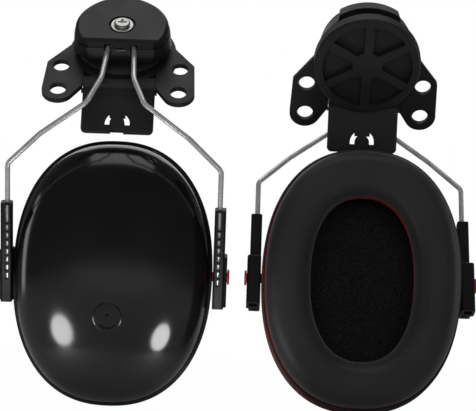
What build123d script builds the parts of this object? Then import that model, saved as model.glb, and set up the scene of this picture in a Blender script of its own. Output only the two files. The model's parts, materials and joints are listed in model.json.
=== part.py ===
from build123d import *
import os
from math import cos, radians, sin

os.makedirs("parts", exist_ok=True)

# A pair of earmuff units that plug into the side slots of a safety helmet.
# Millimetres.  +X is to the right, +Z is up.  The left unit shows its outer side to -Y;
# the right unit is the same unit turned half a turn about Z, so it shows its inner side.
# One unit is drawn about X = 0, with -Y pointing outwards, away from the head.

UNIT_PITCH = 102.0            # between the two units' middle planes

# ---- helmet bracket: drawn flat, +X across, +Y up the plate, +Z outwards off the plate
PLATE_LEAN = 40.0             # the plate's top leans in towards the helmet's crown
SCREW_OUT = -0.7              # where the screw's axis meets the plate's inner face
SCREW_HEIGHT = 61.55
DRUM_R, DRUM_INNER_R, DRUM_DEPTH = 22.3, 18.7, 5.5
HUB_R, SPOKE_WIDTH, SPOKE_COUNT, SPOKE_SET_BACK = 6.3, 3.8, 6, 0.7
FLOOR_THICK = 1.6
BLADE_WIDTH, BLADE_LONG, BLADE_THICK = 29.5, 19.8, 2.2
BLADE_ROOT_V, BLADE_BEND = 22.0, 28.0   # where the blade bends back, and by how much
BLADE_BAND = 3.0              # its raised root
LATCH_SLOT_X, LATCH_SLOT_WIDTH, LATCH_TOP, LATCH_END = 4.1, 2.1, 10.3, 16.4
LATCH_BRIDGE_HALF = 3.2       # solid part between the two slots' curved tops
PLATE_THICK, PLATE_R = 2.2, 21.2
WING_HOLE_R, WING_HOLE_X, WING_HOLE_V = 3.4, 24.5, (12.0, 26.5)
WING_CORNER_R, WING_CORNER_X, WING_CORNER_V = 2.2, 28.2, 10.8
WING_SLOPE_R = 18.0           # circle that the wings' top edges point along
WING_LOBE_R, WING_ROOT_V, WING_NECK_V = 6.6, 23.5, 13.0
NOTCH_HALF, NOTCH_TOP = 14.9, 18.0
TURNTABLE_R, TURNTABLE_TOP = 18.6, 4.8
NOTCH_COUNT, NOTCH_DEPTH = 24, 0.5

# ---- pivot hardware
SCREW_R, SCREW_HEAD_R, SCREW_HEAD_TALL, SCREW_END = 2.0, 3.35, 1.5, -3.9
WASHER_R, WASHER_THICK = 4.75, 0.8
NUT_FLATS, NUT_TALL = 7.0, 3.2
RUN = 0.06                    # running clearance on a radius
FACE_GAP = 0.15               # between flat faces that turn on each other

# ---- head that swivels on the bracket and carries the wire
HEAD_R, HEAD_FLAT, BASE_TOP = 20.3, 11.2, 10.9
LUG_R, LUG_HALF = 22.3, 11.3
COVER_R, COVER_FLAT, COVER_TOP = 19.2, 10.5, 15.0
RECESS_R, RECESS_DEPTH = 5.5, 1.0
HINGE_V, HINGE_N = 5.8, 9.0   # fold hinge: the wire's cross-piece
SLOT_X, SLOT_WIDTH = 5.35, 2.7
SLEEVE_R, SLEEVE_HALF = 2.0, 2.5

# ---- wire yoke
WIRE_R = 1.05
CROSS_HALF = 5.2
LEG_X, LEG_OUT, LEG_LEAN = 43.2, 4.45, 20.0   # straight legs at the cup pivot's height
LEG_BELOW, LEG_ABOVE = 12.0, 44.5             # ends of the straight leg from that height
BEND_AT_CROSS, BENDS = 2.4, (8.0, 3.5, 8.0, 3.5)   # bend radii, from the cross-piece down

# ---- guides that slide on the legs and hold the cup's pins
TUBE_IN, TUBE_OUT, TUBE_HALF = 2.05, 2.6, 2.6
TUBE_LOW, TUBE_HIGH = -13.5, 28.5
BOX_OUT, BOX_FRONT, BOX_BACK, BOX_LOW, BOX_HIGH = 3.65, 1.6, 8.4, -14.0, 7.5
WINDOW_WIDTH, WINDOW_TOP, LONG_WINDOW = 1.5, 27.6, 7.6
WINDOW_COUNT, WINDOW_PITCH, WINDOW_TALL = 7, 3.4, 2.7
CORNER_CUT, CORNER_TURN = 1.4, 30.0   # facets where the head's flat wall meets its round side

# ---- ear cup: drawn about its pivot axis, -Y outwards
PIVOT_HEIGHT = -30.75
CUP_LEAN = 3.0                # the cup's top leans out
CUP_WIDTH, CUP_HEIGHT = 81.6, 108.6
OVAL_POWER, OVAL_POINTS = 2.3, 24
RIM_IN, RIM_OUT, RIM_STEP = 3.0, 5.2, 1.3
DOME_DEPTH, DOME_POWER, DOME_SECTIONS, DOME_TOP_ANGLE = 24.0, 2.6, 8, 78.0
SHELL_WALL = 2.3
DIMPLE_R, DIMPLE_DEPTH, DIMPLE_Z = 5.5, 0.6, -11.0
RING_IN, RING_WALL = -5.0, 7.4
PIN_R, PIN_INNER_X, PIN_HEAD_R, PIN_HEAD_THICK = 2.0, 35.0, 3.1, 0.9
LINER_THICK, LINER_GAP = 8.0, 0.2
DISC_IN, DISC_OUT = 12.0, 17.0
CARRIER_IN, CARRIER_WIDTH, CARRIER_HEIGHT = -7.0, 81.5, 108.2
CARRIER_OPEN_W, CARRIER_OPEN_H = 43.0, 68.0
CUSHION_IN = -22.5
CUSHION_WIDTH, CUSHION_HEIGHT = 80.4, 105.8
MOUTH_WIDTH, MOUTH_HEIGHT = 41.0, 66.0
CUSHION_ROUND_OUT, CUSHION_ROUND_IN, SKIN_THICK = 7.0, 6.0, 1.0


# ------------------------------------------------------------------ helpers
def block(x0, x1, y0, y1, z0, z1):
    """Box between two corners."""
    size = Box(x1 - x0, y1 - y0, z1 - z0)
    return Pos((x0 + x1) / 2, (y0 + y1) / 2, (z0 + z1) / 2) * size


def rod(radius, z0, z1, x=0.0, y=0.0):
    """Upright cylinder between two heights."""
    return Pos(x, y, (z0 + z1) / 2) * Cylinder(radius, z1 - z0)


def rod_x(radius, x0, x1, y=0.0, z=0.0):
    """Cylinder along X."""
    return Pos((x0 + x1) / 2, y, z) * Rot(0, 90, 0) * Cylinder(radius, x1 - x0)


def outward(distance):
    """Section plane of the cup at a distance outwards from its pivot axis."""
    return Plane(origin=(0, -distance, 0), x_dir=(1, 0, 0), z_dir=(0, -1, 0))


def oval(width, height):
    """Superellipse face: the cup's outline."""
    points = []
    for k in range(OVAL_POINTS):
        angle = radians(360 * k / OVAL_POINTS)
        c, s = cos(angle), sin(angle)
        x = width / 2 * abs(c) ** (2 / OVAL_POWER) * (1 if c >= 0 else -1)
        y = height / 2 * abs(s) ** (2 / OVAL_POWER) * (1 if s >= 0 else -1)
        points.append((x, y))
    return make_face(Edge.make_spline(points, periodic=True))


def slab(width, height, near, far):
    """Flat oval plate between two distances outwards."""
    return extrude(outward(near) * oval(width, height), amount=far - near, dir=(0, -1, 0))


def dome(width, height, base, depth):
    """Oval cap that rises outwards from its base to a nearly flat top."""
    sections = []
    for k in range(DOME_SECTIONS):
        angle = radians(DOME_TOP_ANGLE * k / (DOME_SECTIONS - 1))
        size = cos(angle) ** (2 / DOME_POWER)
        rise = depth * sin(angle) ** (2 / DOME_POWER)
        sections.append(outward(base + rise) * oval(width * size, height * size))
    return loft(sections)


# ------------------------------------------------------------------ helmet bracket
def slot_adapter():
    """Hollow spoked drum with the blade that slides into the helmet's slot."""
    body = rod(DRUM_R, -DRUM_DEPTH, 0)
    body = chamfer(body.edges().group_by(Axis.Z)[0], 0.9)
    body -= rod(DRUM_INNER_R, -DRUM_DEPTH, -FLOOR_THICK)
    spoke_face = -DRUM_DEPTH + SPOKE_SET_BACK
    body += rod(HUB_R, spoke_face, -FLOOR_THICK)
    for k in range(SPOKE_COUNT):
        spoke = block(-SPOKE_WIDTH / 2, SPOKE_WIDTH / 2, 0, DRUM_INNER_R + 0.5, spoke_face, -FLOOR_THICK)
        body += Rot(0, 0, 360 * k / SPOKE_COUNT) * spoke
    half = BLADE_WIDTH / 2
    body += block(-half, half, -BLADE_ROOT_V - 0.8, -NOTCH_TOP - 0.2, -BLADE_THICK, PLATE_THICK)
    body += blade_location() * blade()
    body -= rod(SCREW_R, SCREW_END, 1)
    body -= extrude(Pos(0, 0, -0.4 - NUT_TALL) * nut_outline(), amount=NUT_TALL + 2, dir=(0, 0, 1))
    return body


def blade_location():
    """Where the blade bends back from the plate, so that it hangs steeper."""
    return Pos(0, -BLADE_ROOT_V, 0) * Rot(BLADE_BEND, 0, 0)


def blade():
    """Blade with its snap tab, drawn with +Y up along it and its outer face at Z = 0."""
    half = BLADE_WIDTH / 2
    body = block(-half, half, -BLADE_LONG, 3, -BLADE_THICK, 0)
    body = fillet(body.edges().filter_by(Axis.Z).group_by(Axis.Y)[0], 2.0)
    body = chamfer(body.faces().sort_by(Axis.Y)[0].edges().filter_by(Axis.X), 0.5)
    body -= block(-2.7, 2.7, -BLADE_LONG - 1, -BLADE_LONG + 0.8, -BLADE_THICK - 1, 1)
    body += block(-half + 0.6, half - 0.6, -BLADE_BAND, 0, -1, 0.7)
    nub = block(-0.9, 0.9, -0.8, 0.8, -BLADE_THICK, 0)
    for side in (-1, 1):
        body += Pos(side * (half - 0.2), -1.6, 0) * nub
    return body - latch_cut()


def latch_cut():
    """Two slots with tops that curve together; they free a small spring tab in the blade."""
    outer_half = LATCH_SLOT_X + LATCH_SLOT_WIDTH / 2
    inner_half = LATCH_SLOT_X - LATCH_SLOT_WIDTH / 2
    long = LATCH_END - LATCH_TOP - outer_half
    middle = Pos(0, -LATCH_TOP - outer_half)
    lower = Pos(0, -LATCH_END + long / 2)
    slots = middle * Circle(outer_half) + lower * Rectangle(2 * outer_half, long)
    slots -= middle * Circle(inner_half) + lower * Rectangle(2 * inner_half, long)
    slots -= Pos(0, -LATCH_TOP) * Rectangle(2 * LATCH_BRIDGE_HALF, 2 * LATCH_SLOT_WIDTH + 1)
    slots -= Pos(0, -LATCH_END - 10) * Rectangle(40, 20)
    return Pos(0, 0, -5) * extrude(slots, amount=10)


def nut_outline():
    return RegularPolygon(NUT_FLATS / 2, 6, major_radius=False)


def wing_plate():
    """Round plate with two wings, four holes and a notch for the blade's root."""
    outline = Circle(PLATE_R)
    for side in (-1, 1):
        corner = Pos(side * WING_CORNER_X, -WING_CORNER_V) * Circle(WING_CORNER_R)
        lobe = Pos(side * WING_HOLE_X, -WING_HOLE_V[1]) * Circle(WING_LOBE_R)
        root = Pos(side * (NOTCH_HALF + 0.3), -WING_ROOT_V) * Circle(0.3)
        neck = Pos(side * (NOTCH_HALF + 0.3), -WING_NECK_V) * Circle(0.3)
        outline += make_hull(Circle(WING_SLOPE_R).edges() + corner.edges())
        outline += make_hull(corner.edges() + lobe.edges() + root.edges() + neck.edges())
    outline -= Pos(0, -NOTCH_TOP - 20) * Rectangle(2 * NOTCH_HALF, 40)
    for side in (-1, 1):
        for v in WING_HOLE_V:
            outline -= Pos(side * WING_HOLE_X, -v) * Circle(WING_HOLE_R)
    outline -= Circle(SCREW_R + 0.3)
    plate = extrude(outline, amount=PLATE_THICK)
    return plate


def turntable():
    """Round flange with click notches that the head turns on."""
    body = rod(TURNTABLE_R, PLATE_THICK, TURNTABLE_TOP)
    body = fillet(body.edges().group_by(Axis.Z)[-1], 0.6)
    body -= rod(SCREW_R + 0.3, 0, TURNTABLE_TOP + 1)
    notch = block(10, 14, -0.5, 0.5, TURNTABLE_TOP - NOTCH_DEPTH, TURNTABLE_TOP + 1)
    for k in range(NOTCH_COUNT):
        body -= Rot(0, 0, 360 * k / NOTCH_COUNT) * notch
    return body


def pivot_screw():
    """Cross-recess screw that everything on the bracket turns about."""
    seat = washer_base() + WASHER_THICK
    top = seat + SCREW_HEAD_TALL
    head = rod(SCREW_HEAD_R, seat, top)
    head = fillet(head.edges().group_by(Axis.Z)[-1], 0.9)
    cross = block(-1.9, 1.9, -0.45, 0.45, top - 0.9, top + 1)
    cross += block(-0.45, 0.45, -1.9, 1.9, top - 0.9, top + 1)
    return head - cross + rod(SCREW_R, SCREW_END, seat)


def washer_base():
    return COVER_TOP - RECESS_DEPTH + FACE_GAP


def pivot_washer():
    body = rod(WASHER_R, washer_base(), washer_base() + WASHER_THICK)
    body = chamfer(body.edges().group_by(Axis.Z)[-1], 0.25)
    return body - rod(SCREW_R, 0, 20)


def pivot_nut():
    body = extrude(Pos(0, 0, -0.4 - NUT_TALL) * nut_outline(), amount=NUT_TALL, dir=(0, 0, 1))
    return body - rod(SCREW_R, -10, 5)


# ------------------------------------------------------------------ head
def hinge_room():
    """Hollow in the head for the sleeve, the cross-piece and the two wire slots."""
    low_n, high_n = HINGE_N - SLEEVE_R, HINGE_N + SLEEVE_R
    top_y = -HINGE_V + SLEEVE_R
    half = SLOT_X + SLOT_WIDTH / 2
    room = block(-half, half, -HINGE_V - SLEEVE_R, top_y, low_n, high_n + 0.3)
    for side in (-1, 1):
        x = side * SLOT_X
        room += block(x - SLOT_WIDTH / 2, x + SLOT_WIDTH / 2, -30, top_y, low_n + 0.4, HINGE_N + 4.0)
    return room


def corner_cuts(radius, flat):
    """Facets where the flat lower wall meets the round side."""
    x = (radius ** 2 - flat ** 2) ** 0.5
    cuts = []
    for side in (-1, 1):
        turn = Rot(0, 0, side * CORNER_TURN)
        cuts.append(Pos(side * x, -flat, 10) * turn * Box(12, 2 * CORNER_CUT, 20))
    return cuts


def head_base():
    """Lower half of the head, with the thumb lug at its top."""
    outline = Circle(HEAD_R) & (Pos(0, 20 - HEAD_FLAT) * Rectangle(60, 40))
    lug = Polyline((-LUG_HALF - 2, 12), (LUG_HALF + 2, 12), (LUG_HALF, 30), (-LUG_HALF, 30), close=True)
    outline += Circle(LUG_R) & make_face(lug)
    bottom = TURNTABLE_TOP + FACE_GAP
    body = extrude(outline, amount=BASE_TOP - bottom, taper=5)
    body = Pos(0, 0, bottom) * body
    body -= corner_cuts(HEAD_R - 0.4, HEAD_FLAT - 0.4)
    body -= hinge_room()
    body -= spring_slot()
    return body - rod(SCREW_R + RUN, 0, 20)


def head_cover():
    """Upper half of the head: a chamfered round face with a flat lower wall."""
    outline = Circle(COVER_R) & (Pos(0, 20 - COVER_FLAT) * Rectangle(60, 40))
    body = Pos(0, 0, BASE_TOP) * extrude(outline, amount=COVER_TOP - BASE_TOP)
    body = chamfer(body.edges().group_by(Axis.Z)[-1], 1.3)
    body -= corner_cuts(COVER_R, COVER_FLAT)
    body -= rod(RECESS_R, COVER_TOP - RECESS_DEPTH, COVER_TOP + 1)
    body -= hinge_room()
    return body - rod(SCREW_R + RUN, 0, 20)


def spring_slot():
    return block(-2.0, 2.0, -20, -8.6, BASE_TOP - 0.4, BASE_TOP)


def latch_spring():
    """Steel leaf that ends just proud of the head's lower wall."""
    return block(-2.0, 2.0, -HEAD_FLAT - 0.4, -8.6, BASE_TOP - 0.4, BASE_TOP)


def hinge_sleeve():
    """Bush that the wire's cross-piece turns in."""
    body = rod_x(SLEEVE_R, -SLEEVE_HALF, SLEEVE_HALF)
    body -= rod_x(WIRE_R + RUN, -SLEEVE_HALF - 1, SLEEVE_HALF + 1)
    return Pos(0, -HINGE_V, HINGE_N) * body


# ------------------------------------------------------------------ yoke and guides
def bracket_location():
    lean = radians(PLATE_LEAN)
    plane = Plane(origin=(0, -SCREW_OUT, SCREW_HEIGHT), x_dir=(1, 0, 0), z_dir=(0, -cos(lean), sin(lean)))
    return plane.location


def leg_plane(side):
    """Plane across a leg at the cup pivot's height: +Z up the leg, +Y inwards."""
    lean = radians(LEG_LEAN)
    return Plane(origin=(side * LEG_X, -LEG_OUT, PIVOT_HEIGHT), x_dir=(1, 0, 0), z_dir=(0, -sin(lean), cos(lean)))


def yoke_corners():
    """Corners of the right half of the wire, from the cross-piece to the leg's end."""
    plate = bracket_location()
    corners = [(plate * Pos(CROSS_HALF, -HINGE_V, HINGE_N)).position]
    corners.append((plate * Pos(6.5, -26.5, 9.0)).position)
    corners.append(Vector(11.6, -29.2, 35.7))
    corners.append(Vector(30.0, -26.0, 22.8))
    leg = leg_plane(1).location
    corners.append((leg * Pos(0, 0, LEG_ABOVE)).position)
    corners.append((leg * Pos(0, 0, -LEG_BELOW)).position)
    return corners


def wire_yoke():
    """One bent steel wire: cross-piece in the head, two legs in the guides."""
    right = yoke_corners()
    left = [Vector(-p.X, p.Y, p.Z) for p in reversed(right)]
    radii = [BEND_AT_CROSS, *BENDS]
    path = FilletPolyline(*left, *right, radius=[*reversed(radii), *radii])
    section = Plane(origin=path @ 0, z_dir=path % 0) * Circle(WIRE_R)
    return sweep(section, path=path)


def guide_body():
    """Guide of the right leg, drawn about the leg: windowed tube with a box for the pin."""
    tube = block(-TUBE_IN, TUBE_OUT, -TUBE_HALF, TUBE_HALF, TUBE_LOW, TUBE_HIGH)
    tube = fillet(tube.edges().filter_by(Axis.Z), 0.9)
    box = block(-TUBE_IN, BOX_OUT, BOX_FRONT, BOX_BACK, BOX_LOW, BOX_HIGH)
    box = fillet(box.edges().filter_by(Axis.Z), 0.9)
    box = fillet(box.edges().group_by(Axis.Z)[-1], 0.8)
    body = tube + box
    half = WINDOW_WIDTH / 2
    body -= block(-half, half, -TUBE_HALF - 1, 0, WINDOW_TOP - LONG_WINDOW, WINDOW_TOP)
    for k in range(WINDOW_COUNT):
        top = WINDOW_TOP - LONG_WINDOW - (WINDOW_PITCH - WINDOW_TALL) - k * WINDOW_PITCH
        body -= block(-half, half, -TUBE_HALF - 1, 0, top - WINDOW_TALL, top)
    body -= rod(WIRE_R + RUN, TUBE_LOW - 1, TUBE_HIGH + 1)
    body -= block(-0.9, 2.5, 3.4, 7.2, BOX_LOW - 1, -5.3)
    pin_y, pin_z = pin_in_leg_frame()
    body -= rod_x(PIN_R + RUN, -5, 8, pin_y, pin_z)
    return body - grip_pocket()


def grip_pocket():
    return block(-1.3, 1.3, 1.45, 1.95, 12, 24)


def guide_grip():
    """Spring strip that holds the guide at its height on the leg."""
    return block(-1.2, 1.2, 1.5, 1.9, 12.1, 23.9)


def pin_in_leg_frame():
    """Where the cup's pivot axis crosses the leg's plane."""
    lean = radians(LEG_LEAN)
    return LEG_OUT * cos(lean), -LEG_OUT * sin(lean)


# ------------------------------------------------------------------ ear cup
def outer_shell():
    """Domed hard shell with a stepped rim and a small round dimple."""
    body = slab(CUP_WIDTH, CUP_HEIGHT, RIM_IN, RIM_OUT)
    body += dome(CUP_WIDTH - 2 * RIM_STEP, CUP_HEIGHT - 2 * RIM_STEP, RIM_IN, DOME_DEPTH)
    body -= shell_hollow(0)
    top = RIM_IN + DOME_DEPTH
    dimple = Pos(0, -top - 2 + DIMPLE_DEPTH, DIMPLE_Z) * Rot(90, 0, 0) * Cylinder(DIMPLE_R, 4)
    return body - dimple


def shell_hollow(inset):
    """Room inside the shell, less a further inset all round."""
    cut = 2 * (RIM_STEP + SHELL_WALL + inset)
    return dome(CUP_WIDTH - cut, CUP_HEIGHT - cut, RIM_IN, DOME_DEPTH - SHELL_WALL - inset)


def spacer_ring():
    """Coloured ring between shell and cushion that the pivot pins are held in."""
    body = slab(CUP_WIDTH, CUP_HEIGHT, RING_IN, RIM_IN)
    body -= slab(CUP_WIDTH - 2 * RING_WALL, CUP_HEIGHT - 2 * RING_WALL, RING_IN - 1, RIM_IN + 1)
    for side in (-1, 1):
        body -= pin_shank(side, PIN_R)
    return body


def pin_shank(side, radius):
    ends = sorted((side * PIN_INNER_X, side * (LEG_X + BOX_OUT + FACE_GAP)))
    return rod_x(radius, ends[0], ends[1])


def pivot_pin(side):
    """Pin from the spacer ring out through the guide's box, with a flat head."""
    head_x = side * (LEG_X + BOX_OUT + FACE_GAP + PIN_HEAD_THICK / 2)
    head = Pos(head_x, 0, 0) * Rot(0, 90, 0) * Cylinder(PIN_HEAD_R, PIN_HEAD_THICK)
    head = chamfer(head.edges().group_by(Axis.X)[-1 if side > 0 else 0], 0.3)
    return head + pin_shank(side, PIN_R)


def foam_liner():
    """Bowl of absorbing foam pressed into the shell."""
    return shell_hollow(LINER_GAP) - shell_hollow(LINER_GAP + LINER_THICK)


def foam_disc():
    """Second layer of foam at the bottom of the liner's bowl."""
    bowl = shell_hollow(LINER_GAP + LINER_THICK + 0.1)
    room = slab(CUP_WIDTH, CUP_HEIGHT, DISC_IN, DISC_OUT)
    return bowl & room


def cushion_carrier():
    """Hard oval plate that clips the cushion into the spacer ring."""
    body = slab(CARRIER_WIDTH, CARRIER_HEIGHT, CARRIER_IN, RING_IN)
    lip_w = CUP_WIDTH - 2 * RING_WALL
    lip_h = CUP_HEIGHT - 2 * RING_WALL
    body += slab(lip_w, lip_h, RING_IN, RING_IN + 3)
    body -= slab(lip_w - 4, lip_h - 4, RING_IN, RING_IN + 4)
    return body - slab(CARRIER_OPEN_W, CARRIER_OPEN_H, CARRIER_IN - 1, RING_IN + 1)


def cushion_body(inset):
    """Cushion ring with rounded edges towards the head, less an inset on its skin sides."""
    back, face = CARRIER_IN, CUSHION_IN + inset
    ring = slab(CUSHION_WIDTH - 2 * inset, CUSHION_HEIGHT - 2 * inset, face, back)
    ring = fillet(ring.edges().group_by(Axis.Y)[-1], CUSHION_ROUND_OUT - inset)
    hole = slab(MOUTH_WIDTH + 2 * inset, MOUTH_HEIGHT + 2 * inset, face - 1, back + 1)
    ring -= hole
    mouth_edge = ring.edges().group_by(Axis.Y)[-1].sort_by(SortBy.LENGTH)[0]
    return fillet(mouth_edge, CUSHION_ROUND_IN - inset)


def cushion_foam():
    return cushion_body(SKIN_THICK)


def cushion_skin():
    return cushion_body(0) - cushion_body(SKIN_THICK)


# ------------------------------------------------------------------ one unit
def unit():
    """All pieces of one unit, by name, about X = 0."""
    plate = bracket_location()
    cup = Pos(0, 0, PIVOT_HEIGHT) * Rot(CUP_LEAN, 0, 0)
    right_leg = leg_plane(1).location
    pieces = {}
    for build in (slot_adapter, wing_plate, turntable, pivot_screw, pivot_washer, pivot_nut,
                  head_base, head_cover, latch_spring, hinge_sleeve):
        pieces[build.__name__] = plate * build()
    pieces["wire_yoke"] = wire_yoke()
    for build in (guide_body, guide_grip):
        name = build.__name__
        pieces["front_" + name] = right_leg * build()
        pieces["rear_" + name] = mirror(pieces["front_" + name], about=Plane.YZ)
    for build in (outer_shell, spacer_ring, foam_liner, foam_disc, cushion_carrier, cushion_foam, cushion_skin):
        pieces[build.__name__] = cup * build()
    pieces["front_pivot_pin"] = cup * pivot_pin(1)
    pieces["rear_pivot_pin"] = cup * pivot_pin(-1)
    return pieces


def main():
    placings = {"left": Pos(-UNIT_PITCH / 2, 0, 0), "right": Pos(UNIT_PITCH / 2, 0, 0) * Rot(0, 0, 180)}
    for name, piece in unit().items():
        for side, place in placings.items():
            export_step(place * piece, f"parts/{side}_{name}.step")


main()
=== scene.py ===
import json
import math

import bmesh
import bpy
from mathutils import Matrix, Quaternion, Vector


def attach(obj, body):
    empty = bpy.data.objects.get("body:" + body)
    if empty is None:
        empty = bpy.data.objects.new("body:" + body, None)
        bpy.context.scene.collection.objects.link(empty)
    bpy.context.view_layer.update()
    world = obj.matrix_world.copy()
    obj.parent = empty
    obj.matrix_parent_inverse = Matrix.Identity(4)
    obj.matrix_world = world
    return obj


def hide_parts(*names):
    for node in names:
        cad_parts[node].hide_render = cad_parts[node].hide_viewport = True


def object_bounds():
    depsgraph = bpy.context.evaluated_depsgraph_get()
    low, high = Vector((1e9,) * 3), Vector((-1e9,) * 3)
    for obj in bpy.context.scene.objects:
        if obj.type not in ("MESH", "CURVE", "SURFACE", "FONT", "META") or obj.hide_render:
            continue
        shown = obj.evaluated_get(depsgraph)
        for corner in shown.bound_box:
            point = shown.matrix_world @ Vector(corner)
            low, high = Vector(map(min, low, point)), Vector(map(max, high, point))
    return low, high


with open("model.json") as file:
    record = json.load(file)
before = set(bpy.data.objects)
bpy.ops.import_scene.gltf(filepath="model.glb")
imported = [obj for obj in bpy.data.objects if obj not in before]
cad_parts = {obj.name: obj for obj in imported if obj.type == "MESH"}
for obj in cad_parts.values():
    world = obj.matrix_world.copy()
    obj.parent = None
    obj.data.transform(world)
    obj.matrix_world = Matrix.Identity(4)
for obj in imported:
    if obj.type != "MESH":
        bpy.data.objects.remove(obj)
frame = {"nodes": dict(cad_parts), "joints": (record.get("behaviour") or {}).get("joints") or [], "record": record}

cad_low, cad_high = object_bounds()

MM = 0.001
SIDES = ("left", "right")
NODES = frame["nodes"]
JOINTS = {j["name"]: j for j in frame["joints"]}

# ------------------------------------------------------------------ the cup's own sizes, mm
CUP_LEAN = 3.0                # the cup's top leans out, degrees
CUP_WIDTH, CUP_HEIGHT = 81.6, 108.6
OVAL_POWER = 2.3
RIM_IN, RIM_OUT, RIM_STEP = 3.0, 5.2, 1.3
DOME_DEPTH, DOME_POWER = 24.0, 2.6
SHELL_WALL = 2.3
LINER_GAP, LINER_THICK = 0.3, 7.6
CARRIER_FACE = -7.0           # back of the cushion
CUSHION_FACE = -22.5          # side that rests on the head
CUSHION_WIDTH, CUSHION_HEIGHT = 80.4, 105.8
MOUTH_WIDTH, MOUTH_HEIGHT = 41.0, 66.0
LIP_TALLER = 2.2              # the welded lip stands out this much more at top and bottom
SWELL = 0.7                   # the cushion starts this much smaller, then its foam fills it
MARK_Z, MARK_R = -17.5, 6.0   # moulding mark on the shell

SKIN_MASS, SKIN_STIFF = 0.02, 8.0          # cloth settings of the cushion's skin
SKIN_PRESSURE, SWELL_FRAMES = 4, 20
SWELL_CAP = 0.0016                         # no point of the skin moves further, metres


# ------------------------------------------------------------------ node helpers
class Nodes:
    """Short hand for building one material's node tree."""

    def __init__(self, name, slot_colour=(0.8, 0.8, 0.8)):
        self.material = bpy.data.materials.new(name)
        self.material.use_nodes = True
        self.material.diffuse_color = (*slot_colour, 1)
        self.tree = self.material.node_tree
        self.shader = self.tree.nodes["Principled BSDF"]

    def add(self, kind, **sockets):
        node = self.tree.nodes.new(kind)
        for key, value in sockets.items():
            if key in node.inputs:
                node.inputs[key].default_value = value
            else:
                setattr(node, key, value)
        return node

    def link(self, a, out, b, into):
        self.tree.links.new(a.outputs[out], b.inputs[into])

    def coords(self, scale=(1, 1, 1)):
        where = self.add("ShaderNodeTexCoord")
        mapping = self.add("ShaderNodeMapping")
        mapping.inputs["Scale"].default_value = scale
        self.link(where, "Object", mapping, "Vector")
        return mapping

    def noise(self, coords, scale, detail=4.0, rough=0.5):
        node = self.add("ShaderNodeTexNoise", Scale=scale, Detail=detail, Roughness=rough)
        self.link(coords, "Vector", node, "Vector")
        return node

    def ramp(self, source, out, stops):
        node = self.add("ShaderNodeValToRGB")
        elements = node.color_ramp.elements
        while len(elements) < len(stops):
            elements.new(0.5)
        for element, (place, colour) in zip(elements, stops):
            element.position = place
            element.color = colour if len(colour) == 4 else (*colour, 1)
        self.link(source, out, node, "Fac")
        return node

    def bump(self, source, out, strength, distance, below=None):
        node = self.add("ShaderNodeBump", Strength=strength, Distance=distance)
        self.link(source, out, node, "Height")
        if below is not None:
            self.link(below, "Normal", node, "Normal")
        return node

    def edge(self, radius):
        """Rounded look on hard edges."""
        return self.add("ShaderNodeBevel", Radius=radius, samples=4)

    def grey_range(self, source, out, low, high, start=0.3, end=0.7):
        """Maps a texture to a roughness range."""
        node = self.add("ShaderNodeMapRange")
        node.inputs["From Min"].default_value = start
        node.inputs["From Max"].default_value = end
        node.inputs["To Min"].default_value = low
        node.inputs["To Max"].default_value = high
        self.link(source, out, node, "Value")
        return node

    def out(self, source, out, socket):
        self.tree.links.new(source.outputs[out], self.shader.inputs[socket])


def moulded_plastic(name, colour, rough, grain, grain_depth, shine=0.5):
    """Injection-moulded plastic: fine spark texture, faint mottling, rubbed edges."""
    m = Nodes(name, colour)
    place = m.coords()
    mottle = m.noise(place, 90, 5, 0.6)
    light = tuple(c * 1.25 for c in colour)
    dark = tuple(c * 0.75 for c in colour)
    m.out(m.ramp(mottle, "Fac", [(0.3, dark), (0.7, light)]), "Color", "Base Color")
    m.out(m.grey_range(mottle, "Fac", rough - 0.06, rough + 0.06), "Result", "Roughness")
    fine = m.noise(place, grain, 3, 0.55)
    bump = m.bump(fine, "Fac", 0.5, grain_depth, below=m.edge(0.00025))
    m.out(bump, "Normal", "Normal")
    m.shader.inputs["IOR"].default_value = 1.5
    m.shader.inputs["Specular IOR Level"].default_value = shine
    return m.material


def gloss_shell():
    """Polished black ABS with faint haze and hairline marks."""
    m = Nodes("shell_gloss", (0.01, 0.01, 0.011))
    place = m.coords()
    haze = m.noise(place, 35, 6, 0.6)
    tones = [(0.3, (0.004, 0.004, 0.0045)), (0.75, (0.0075, 0.0075, 0.008))]
    m.out(m.ramp(haze, "Fac", tones), "Color", "Base Color")
    m.out(m.grey_range(haze, "Fac", 0.13, 0.2), "Result", "Roughness")
    streak_place = m.coords((900, 60, 60))
    hairs = m.noise(streak_place, 1.0, 6, 0.7)
    ripple = m.noise(place, 28, 2, 0.4)
    soft = m.bump(ripple, "Fac", 0.06, 0.0006, below=m.edge(0.0004))
    m.out(m.bump(hairs, "Fac", 0.03, 0.00003, below=soft), "Normal", "Normal")
    m.shader.inputs["IOR"].default_value = 1.5
    m.shader.inputs["Coat Weight"].default_value = 0.35
    m.shader.inputs["Coat Roughness"].default_value = 0.13
    return m.material


def drawn_steel(name, tint, rough, along=(1, 1, 1), metallic=1.0):
    """Bright steel with fine draw lines and light tarnish."""
    m = Nodes(name, tint)
    lines = m.noise(m.coords(along), 900, 4, 0.6)
    tarnish = m.noise(m.coords(), 160, 5, 0.65)
    dull = tuple(c * 0.72 for c in tint)
    m.out(m.ramp(tarnish, "Fac", [(0.32, dull), (0.62, tint)]), "Color", "Base Color")
    m.out(m.grey_range(tarnish, "Fac", rough + 0.08, rough), "Result", "Roughness")
    m.out(m.bump(lines, "Fac", 0.25, 0.00002, below=m.edge(0.00012)), "Normal", "Normal")
    m.shader.inputs["Metallic"].default_value = metallic
    return m.material


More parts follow.
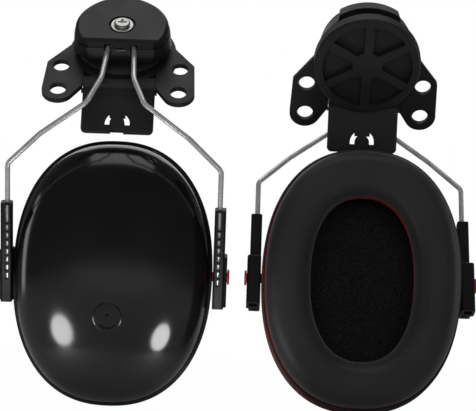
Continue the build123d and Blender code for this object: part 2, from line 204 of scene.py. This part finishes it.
def cushion_vinyl():
    """Soft matt vinyl skin with a fine pebbled grain."""
    m = Nodes("cushion_vinyl", (0.02, 0.02, 0.021))
    place = m.coords()
    cells = m.add("ShaderNodeTexVoronoi", Scale=1500.0, feature="F1")
    m.link(place, "Vector", cells, "Vector")
    cloudy = m.noise(place, 40, 5, 0.6)
    fine = m.noise(place, 2600, 3, 0.6)
    tones = [(0.3, (0.017, 0.017, 0.0175)), (0.7, (0.027, 0.027, 0.028))]
    m.out(m.ramp(cloudy, "Fac", tones), "Color", "Base Color")
    m.out(m.grey_range(cloudy, "Fac", 0.46, 0.58), "Result", "Roughness")
    grain = m.bump(cells, "Distance", 0.35, 0.00006)
    m.out(m.bump(fine, "Fac", 0.2, 0.00003, below=grain), "Normal", "Normal")
    m.shader.inputs["Sheen Weight"].default_value = 0.12
    m.shader.inputs["Sheen Roughness"].default_value = 0.45
    m.shader.inputs["Specular IOR Level"].default_value = 0.42
    return m.material


def open_foam():
    """Black open-cell foam: pitted, with painted shade darkening the pores."""
    m = Nodes("foam", (0.012, 0.012, 0.012))
    place = m.coords()
    pores = m.add("ShaderNodeTexVoronoi", Scale=1100.0, feature="F1")
    m.link(place, "Vector", pores, "Vector")
    lumps = m.noise(place, 260, 5, 0.6)
    # painted shade: the ramp darkens the colour towards each pore's middle, standing in for shade in the pore
    # hollows
    tones = [(0.15, (0.004, 0.004, 0.004)), (0.6, (0.016, 0.016, 0.016))]
    m.out(m.ramp(pores, "Distance", tones), "Color", "Base Color")
    m.out(m.grey_range(lumps, "Fac", 0.85, 0.98), "Result", "Roughness")
    bump = m.bump(pores, "Distance", 0.8, 0.0004)
    m.out(m.bump(lumps, "Fac", 0.5, 0.0008, below=bump), "Normal", "Normal")
    m.shader.inputs["Specular IOR Level"].default_value = 0.15
    return m.material


MATERIALS = {
    "shell_gloss": gloss_shell(),
    "head_plastic": moulded_plastic("head_plastic", (0.0095, 0.0095, 0.01), 0.42, 1900, 0.00004),
    "plate_plastic": moulded_plastic("plate_plastic", (0.009, 0.009, 0.0095), 0.46, 1500, 0.00005),
    "adapter_plastic": moulded_plastic("adapter_plastic", (0.014, 0.014, 0.0145), 0.5, 1300, 0.00006),
    "guide_plastic": moulded_plastic(
        "guide_plastic", (0.006, 0.006, 0.0065), 0.46, 2100, 0.00003, shine=0.3),
    "red_plastic": moulded_plastic("red_plastic", (0.42, 0.012, 0.022), 0.4, 1800, 0.00003),
    "wire_steel": drawn_steel("wire_steel", (0.85, 0.85, 0.86), 0.24, (1, 1, 0.1), metallic=0.6),
    "screw_steel": drawn_steel("screw_steel", (0.7, 0.69, 0.67), 0.26),
    "foam": open_foam(),
    "cushion_vinyl": cushion_vinyl(),
}
SLOT_OF = {s["node"]: s["material_slot"] for s in frame["record"]["subparts"]}


def finish_nodes():
    """Every CAD node takes the procedural material of its slot."""
    for name, node in NODES.items():
        node.data.materials.clear()
        node.data.materials.append(MATERIALS[SLOT_OF[name]])


# ------------------------------------------------------------------ mesh helpers
def cup_matrix(side):
    """From the cup's own axes (across, outwards, up) to the part's frame."""
    pivot = Vector(JOINTS[f"{side}_cup_pivot"]["pos_m"])
    turn = 0 if side == "left" else math.pi
    lean = Matrix.Rotation(math.radians(CUP_LEAN), 4, "X")
    return Matrix.Translation(pivot) @ Matrix.Rotation(turn, 4, "Z") @ lean


def oval_point(angle, width, height):
    c, s = math.cos(angle), math.sin(angle)
    x = width / 2 * math.copysign(abs(c) ** (2 / OVAL_POWER), c)
    z = height / 2 * math.copysign(abs(s) ** (2 / OVAL_POWER), s)
    return x, z


def oval_angles(count):
    """Angles that space points evenly round the cup's oval."""
    fine = 4096
    points = [oval_point(2 * math.pi * k / fine, CUP_WIDTH, CUP_HEIGHT) for k in range(fine + 1)]
    lengths = [0.0]
    for a, b in zip(points, points[1:]):
        lengths.append(lengths[-1] + math.dist(a, b))
    angles, j = [], 0
    for k in range(count):
        target = lengths[-1] * k / count
        while lengths[j + 1] < target:
            j += 1
        part = (target - lengths[j]) / (lengths[j + 1] - lengths[j])
        angles.append(2 * math.pi * (j + part) / fine)
    return angles


def oval_skin(name, rows, around, closed=False):
    """Mesh through ovals; each row is (width, height, outwards) in mm.  Ends are capped unless closed."""
    mesh = bmesh.new()
    angles = oval_angles(around)
    rings = []
    for width, height, out in rows:
        ring = []
        for angle in angles:
            x, z = oval_point(angle, width, height)
            ring.append(mesh.verts.new((x * MM, -out * MM, z * MM)))
        rings.append(ring)
    pairs = list(zip(rings, rings[1:])) + ([(rings[-1], rings[0])] if closed else [])
    for a, b in pairs:
        for k in range(around):
            n = (k + 1) % around
            mesh.faces.new((a[k], a[n], b[n], b[k]))
    if not closed:
        for ring in (rings[0], rings[-1]):
            centre = mesh.verts.new(sum((v.co for v in ring), Vector()) / around)
            for k in range(around):
                mesh.faces.new((ring[k], ring[(k + 1) % around], centre))
    bmesh.ops.recalc_face_normals(mesh, faces=mesh.faces)
    data = bpy.data.meshes.new(name)
    mesh.to_mesh(data)
    mesh.free()
    for face in data.polygons:
        face.use_smooth = True
    piece = bpy.data.objects.new(name, data)
    bpy.context.scene.collection.objects.link(piece)
    return piece


def settle(piece, side, material, replaced=()):
    """Puts a cup-local piece in its place, gives it its finish and lets it ride on the cup."""
    piece.data.transform(cup_matrix(side))
    piece.data.materials.clear()
    piece.data.materials.append(MATERIALS[material])
    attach(piece, f"{side}_cup")
    if replaced:
        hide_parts(*[f"{side}_{n}" for n in replaced])
    return piece


def dome_rows(width, height, base, depth, steps, smallest=0.03):
    """Rows of a cup-shaped cap from its base to its top."""
    rows = []
    top_angle = math.acos(smallest ** (DOME_POWER / 2))
    for k in range(steps + 1):
        angle = top_angle * k / steps
        size = math.cos(angle) ** (2 / DOME_POWER)
        rise = depth * math.sin(angle) ** (2 / DOME_POWER)
        rows.append((width * size, height * size, base + rise))
    return rows


# ------------------------------------------------------------------ shell
def outer_shell(side):
    w, h = CUP_WIDTH, CUP_HEIGHT
    step = 2 * RIM_STEP
    wall = 2 * (RIM_STEP + SHELL_WALL)
    rows = [(w - wall, h - wall, RIM_IN), (w - 0.5, h - 0.5, RIM_IN), (w, h, RIM_IN + 0.25)]
    rows += [(w, h, RIM_OUT - 0.5), (w - 0.3, h - 0.3, RIM_OUT - 0.15), (w - 0.9, h - 0.9, RIM_OUT)]
    rows += [(w - step + 0.2, h - step + 0.2, RIM_OUT + 0.02)]
    outer = dome_rows(w - step, h - step, RIM_IN, DOME_DEPTH, 44)
    rows += [row for row in outer if row[2] > RIM_OUT + 0.3]
    inner = dome_rows(w - wall, h - wall, RIM_IN, DOME_DEPTH - SHELL_WALL, 16)
    shell = oval_skin(f"{side}_shell", rows, 160)
    inside = oval_skin(f"{side}_inside", inner, 160)
    join_inner(shell, inside)
    return settle(shell, side, "shell_gloss", ["outer_shell"])


def join_inner(shell, inside):
    """Opens the two skins' bases and sews them into one closed wall."""
    mesh = bmesh.new()
    mesh.from_mesh(shell.data)
    mesh.from_mesh(inside.data)
    bpy.data.objects.remove(inside)
    base_centre = Vector((0, -RIM_IN * MM, 0))
    caps = [v for v in mesh.verts if (v.co - base_centre).length < 1e-6]
    bmesh.ops.delete(mesh, geom=caps, context="VERTS")
    bmesh.ops.remove_doubles(mesh, verts=mesh.verts, dist=1e-6)
    bmesh.ops.recalc_face_normals(mesh, faces=mesh.faces)
    mesh.to_mesh(shell.data)
    mesh.free()
    for face in shell.data.polygons:
        face.use_smooth = True


def shell_out(x, z):
    """How far out the shell's dome stands at a point across and up the cup."""
    half_w, half_h = CUP_WIDTH / 2 - RIM_STEP, CUP_HEIGHT / 2 - RIM_STEP
    share = (abs(x / half_w) ** OVAL_POWER + abs(z / half_h) ** OVAL_POWER) ** (1 / OVAL_POWER)
    return RIM_IN + DOME_DEPTH * (1 - share ** DOME_POWER) ** (1 / DOME_POWER)


def gate_mark(side):
    """Round moulding mark on the dome: a low ring about a flat middle and a small pip."""
    profile = [(0.02, 0.22), (0.5, 0.2), (0.8, 0.07), (4.3, 0.06)]
    profile += [(4.6, 0.2), (5.2, 0.26), (5.7, 0.2), (MARK_R, -0.15)]
    mesh = bmesh.new()
    around, rings = 72, []
    for radius, proud in profile:
        ring = []
        for k in range(around):
            angle = 2 * math.pi * k / around
            x, z = radius * math.cos(angle), MARK_Z + radius * math.sin(angle)
            ring.append(mesh.verts.new((x * MM, -(shell_out(x, z) + proud) * MM, z * MM)))
        rings.append(ring)
    for a, b in zip(rings, rings[1:]):
        for k in range(around):
            n = (k + 1) % around
            mesh.faces.new((a[k], a[n], b[n], b[k]))
    mesh.faces.new(rings[0])
    bmesh.ops.recalc_face_normals(mesh, faces=mesh.faces)
    data = bpy.data.meshes.new(f"{side}_gate_mark")
    mesh.to_mesh(data)
    mesh.free()
    for face in data.polygons:
        face.use_smooth = True
    mark = bpy.data.objects.new(data.name, data)
    bpy.context.scene.collection.objects.link(mark)
    thick = mark.modifiers.new("depth", "SOLIDIFY")
    thick.thickness = 0.0004
    thick.offset = -1
    return settle(mark, side, "shell_gloss")


# ------------------------------------------------------------------ soft pieces
def cushion_rows(inset=0.0, steps=10):
    """Section of the cushion ring, from its back edge over the face into the mouth."""
    back, face = CARRIER_FACE, CUSHION_FACE + inset
    thick = back - face
    section = [(1.0, back), (1.0, back - 0.22 * thick)]
    for k in range(steps + 1):          # outer side and rounded shoulder
        a = math.pi / 2 * k / steps
        section.append((1 - 0.34 * (1 - math.cos(a)), face + thick * 0.55 * (1 - math.sin(a))))
    section.append((0.5, face - 0.2))
    for k in range(steps + 1):          # broad roll into the mouth
        a = math.pi / 2 * k / steps
        section.append((0.38 * (1 - math.sin(a)), face + thick * 0.66 * (1 - math.cos(a))))
    section.append((0.0, back))
    rows = []
    for share, out in section:
        w = MOUTH_WIDTH + 2 * inset + share * (CUSHION_WIDTH - MOUTH_WIDTH - 4 * inset)
        h = MOUTH_HEIGHT + 2 * inset + share * (CUSHION_HEIGHT - MOUTH_HEIGHT - 4 * inset)
        rows.append((w, h, out))
    return rows


def swell(piece, held):
    """Fills a closed skin with pressure; no point moves further than SWELL_CAP."""
    scene = bpy.context.scene
    start = [v.co.copy() for v in piece.data.vertices]
    group = piece.vertex_groups.new(name="held")
    group.add(held, 1.0, "REPLACE")
    cloth = piece.modifiers.new("cloth", "CLOTH")
    cloth.settings.quality = 6
    cloth.settings.mass = SKIN_MASS
    cloth.settings.use_pressure = True
    cloth.settings.uniform_pressure_force = SKIN_PRESSURE
    cloth.settings.tension_stiffness = cloth.settings.compression_stiffness = SKIN_STIFF
    cloth.settings.bending_stiffness = 0.02
    cloth.settings.vertex_group_mass = "held"
    cloth.settings.effector_weights.gravity = 0
    cloth.collision_settings.use_collision = False
    cloth.point_cache.frame_start, cloth.point_cache.frame_end = 1, SWELL_FRAMES
    for frame_number in range(1, SWELL_FRAMES + 1):
        scene.frame_set(frame_number)
    settled = bpy.data.meshes.new_from_object(piece.evaluated_get(bpy.context.evaluated_depsgraph_get()))
    moved = [v.co.copy() for v in settled.vertices]
    piece.modifiers.remove(cloth)
    piece.vertex_groups.clear()
    bpy.data.meshes.remove(settled)
    scene.frame_set(1)
    for vertex, a, b in zip(piece.data.vertices, start, moved):
        step = b - a
        if step.length > SWELL_CAP:
            step *= SWELL_CAP / step.length
        vertex.co = a + step


def cushion_master():
    """One cushion in the cup's own frame, swollen by its foam; both units get a copy."""
    around = 128
    ring = oval_skin("cushion", cushion_rows(SWELL), around, closed=True)
    last = len(ring.data.vertices) - around
    held = list(range(2 * around)) + list(range(last, last + around))
    swell(ring, held)
    smooth = ring.modifiers.new("smooth", "SUBSURF")
    smooth.levels = smooth.render_levels = 1
    data = bpy.data.meshes.new_from_object(ring.evaluated_get(bpy.context.evaluated_depsgraph_get()))
    bpy.data.objects.remove(ring)
    return data


def cushion(side, master):
    data = master.copy()
    for face in data.polygons:
        face.use_smooth = True
    ring = bpy.data.objects.new(f"{side}_cushion", data)
    bpy.context.scene.collection.objects.link(ring)
    settle(ring, side, "cushion_vinyl", ["cushion_skin", "cushion_foam"])
    lip = []
    for grow, out in ((-0.5, -7.9), (0.5, -8.0), (0.95, -8.3), (0.95, -8.7), (0.5, -9.0), (-0.5, -9.1)):
        lip.append((CUSHION_WIDTH + grow, CUSHION_HEIGHT + LIP_TALLER * grow, out))
    weld = oval_skin(f"{side}_cushion_weld", lip, 160, closed=True)
    return settle(weld, side, "cushion_vinyl")


def bowl_share(out):
    """Share of the foam bowl's inner width that is left at a distance outwards."""
    base, depth = RIM_IN + 1.5, DOME_DEPTH - SHELL_WALL - LINER_GAP - LINER_THICK - 1.5
    return (1 - ((out - base) / depth) ** DOME_POWER) ** (1 / DOME_POWER)


def disc(side):
    """Crowned foam disc that fills the bottom of the bowl."""
    cut = 2 * (RIM_STEP + SHELL_WALL + LINER_GAP + LINER_THICK)
    w, h = CUP_WIDTH - cut, CUP_HEIGHT - cut
    front = bowl_share(12.4)
    crown = ((0.05, 11.0), (0.35, 11.05), (0.65, 11.3), (0.85, 11.7), (0.95, 12.1))
    rows = [(w * front * share, h * front * share, out) for share, out in crown]
    for out in (12.7, 13.4, 14.2, 15.0, 15.7, 16.3):
        rows.append((w * bowl_share(out) - 0.5, h * bowl_share(out) - 0.5, out))
    pad = oval_skin(f"{side}_foam_pad", rows, 96)
    smooth = pad.modifiers.new("smooth", "SUBSURF")
    smooth.levels = smooth.render_levels = 1
    settle(pad, side, "foam", ["foam_disc"])
    return pad


def liner(side):
    """Foam bowl in the shell, with a soft rounded lip."""
    cut = 2 * (RIM_STEP + SHELL_WALL + LINER_GAP)
    w, h = CUP_WIDTH - cut, CUP_HEIGHT - cut
    depth = DOME_DEPTH - SHELL_WALL - LINER_GAP
    outer = dome_rows(w, h, RIM_IN + 1.5, depth - 1.5, 14, 0.08)
    t = LINER_THICK
    inner = dome_rows(w - 2 * t, h - 2 * t, RIM_IN + 1.5, depth - t - 1.5, 14, 0.08)
    lip = [(w - t, h - t, RIM_IN - 0.2)]
    rows = list(reversed(outer)) + lip + inner
    bowl = oval_skin(f"{side}_liner", rows, 96)
    smooth = bowl.modifiers.new("smooth", "SUBSURF")
    smooth.levels = smooth.render_levels = 1
    settle(bowl, side, "foam", ["foam_liner"])
    return bowl


# ------------------------------------------------------------------ stage, light, camera
def stage():
    low = cad_low.z
    mesh = bmesh.new()
    bmesh.ops.create_circle(mesh, cap_ends=True, segments=96, radius=6.0)
    data = bpy.data.meshes.new("floor")
    mesh.to_mesh(data)
    mesh.free()
    floor = bpy.data.objects.new("floor", data)
    floor.location = (0, 0, low - 0.0006)
    bpy.context.scene.collection.objects.link(floor)
    m = Nodes("floor_paper", (0.9, 0.9, 0.9))
    paper = m.noise(m.coords(), 400, 3, 0.5)
    tones = [(0.3, (0.62, 0.62, 0.62)), (0.7, (0.66, 0.66, 0.66))]
    m.out(m.ramp(paper, "Fac", tones), "Color", "Base Color")
    m.shader.inputs["Roughness"].default_value = 0.9
    m.shader.inputs["Specular IOR Level"].default_value = 0.1
    bright = m.add("ShaderNodeEmission", Strength=1.0)
    share = m.add("ShaderNodeMath", operation="MULTIPLY")
    share.inputs[1].default_value = 0.985
    mix = m.add("ShaderNodeMixShader")
    m.link(m.add("ShaderNodeLightPath"), "Is Camera Ray", share, 0)
    m.link(share, "Value", mix, "Fac")
    m.tree.links.new(m.shader.outputs["BSDF"], mix.inputs[1])
    m.tree.links.new(bright.outputs["Emission"], mix.inputs[2])
    m.tree.links.new(mix.outputs["Shader"], m.tree.nodes["Material Output"].inputs["Surface"])
    floor.data.materials.append(m.material)


def area_light(name, place, aim, size, power, shape="RECTANGLE", height=None):
    data = bpy.data.lights.new(name, "AREA")
    data.shape = shape
    data.size = size
    data.size_y = height or size
    data.energy = power
    lamp = bpy.data.objects.new(name, data)
    lamp.location = place
    lamp.rotation_mode = "QUATERNION"
    lamp.rotation_quaternion = (Vector(aim) - Vector(place)).to_track_quat("-Z", "Y")
    lamp.visible_camera = False
    bpy.context.scene.collection.objects.link(lamp)
    return lamp


def lights():
    """Two side strips, two near spots for the dome's round highlights, and broad soft lights."""
    area_light("strip_left", (-0.7, 0.12, 0.0), (-0.05, 0, -0.03), 0.16, 0.5, height=0.6)
    area_light("strip_right", (0.7, 0.12, 0.0), (0.05, 0, -0.03), 0.16, 0.5, height=0.6)
    area_light("spot_left", (-0.0926, -0.0573, -0.0728), (-0.069, -0.023, -0.056), 0.025, 0.016, "DISK")
    area_light("spot_right", (-0.0078, -0.0503, -0.0746), (-0.029, -0.022, -0.057), 0.022, 0.013, "DISK")
    area_light("overhead", (0.0, -0.1, 1.0), (0, 0, 0), 0.8, 2.2)
    area_light("back", (0.0, 0.9, 0.6), (0, 0, 0), 0.9, 2.4)
    soft = [area_light("front", (0.0, -1.1, 0.35), (0, 0, 0), 0.7, 2.2)]
    soft.append(area_light("low", (0.0, -0.9, 0.0), (0, 0, 0), 0.7, 1.3, height=0.16))
    for lamp in soft:
        lamp.visible_glossy = False


def sky():
    """White to the eye, dimmer in reflections, as a room with a lit backdrop is."""
    world = bpy.data.worlds.new("studio")
    bpy.context.scene.world = world
    world.use_nodes = True
    tree = world.node_tree
    tree.nodes.clear()
    seen = tree.nodes.new("ShaderNodeBackground")
    seen.inputs["Color"].default_value = (1, 1, 1, 1)
    seen.inputs["Strength"].default_value = 1.0
    room = tree.nodes.new("ShaderNodeBackground")
    room.inputs["Color"].default_value = (1, 1, 1, 1)
    room.inputs["Strength"].default_value = 0.06
    path = tree.nodes.new("ShaderNodeLightPath")
    mix = tree.nodes.new("ShaderNodeMixShader")
    out = tree.nodes.new("ShaderNodeOutputWorld")
    tree.links.new(path.outputs["Is Camera Ray"], mix.inputs["Fac"])
    tree.links.new(room.outputs["Background"], mix.inputs[1])
    tree.links.new(seen.outputs["Background"], mix.inputs[2])
    tree.links.new(mix.outputs["Shader"], out.inputs["Surface"])


CAMERA_AWAY = 0.7      # metres from the aim point
CAMERA_RISE = 5.0      # degrees the view looks upwards
CAMERA_ROLL = 2.1
CAMERA_AIM = (-0.0006, 0, -0.0009)
LENS_AT_466 = 85       # focal length that frames the pair from 0.466 m


def camera():
    data = bpy.data.cameras.new("camera")
    data.lens = LENS_AT_466 * CAMERA_AWAY / 0.466
    data.sensor_width = 36
    eye = bpy.data.objects.new("camera", data)
    rise, roll = math.radians(CAMERA_RISE), math.radians(CAMERA_ROLL)
    aim = Vector(CAMERA_AIM)
    back = Vector((0, -math.cos(rise), -math.sin(rise)))
    eye.location = aim + CAMERA_AWAY * back
    eye.rotation_mode = "QUATERNION"
    eye.rotation_quaternion = Quaternion(back, roll) @ back.to_track_quat("Z", "Y")
    bpy.context.scene.collection.objects.link(eye)
    bpy.context.scene.camera = eye


# ------------------------------------------------------------------ build
finish_nodes()
camera()
stage()
sky()
lights()
ring = cushion_master()
for side in SIDES:
    outer_shell(side)
    gate_mark(side)
    cushion(side, ring)
    liner(side)
    disc(side)

bpy.context.scene.view_settings.view_transform = "Standard"
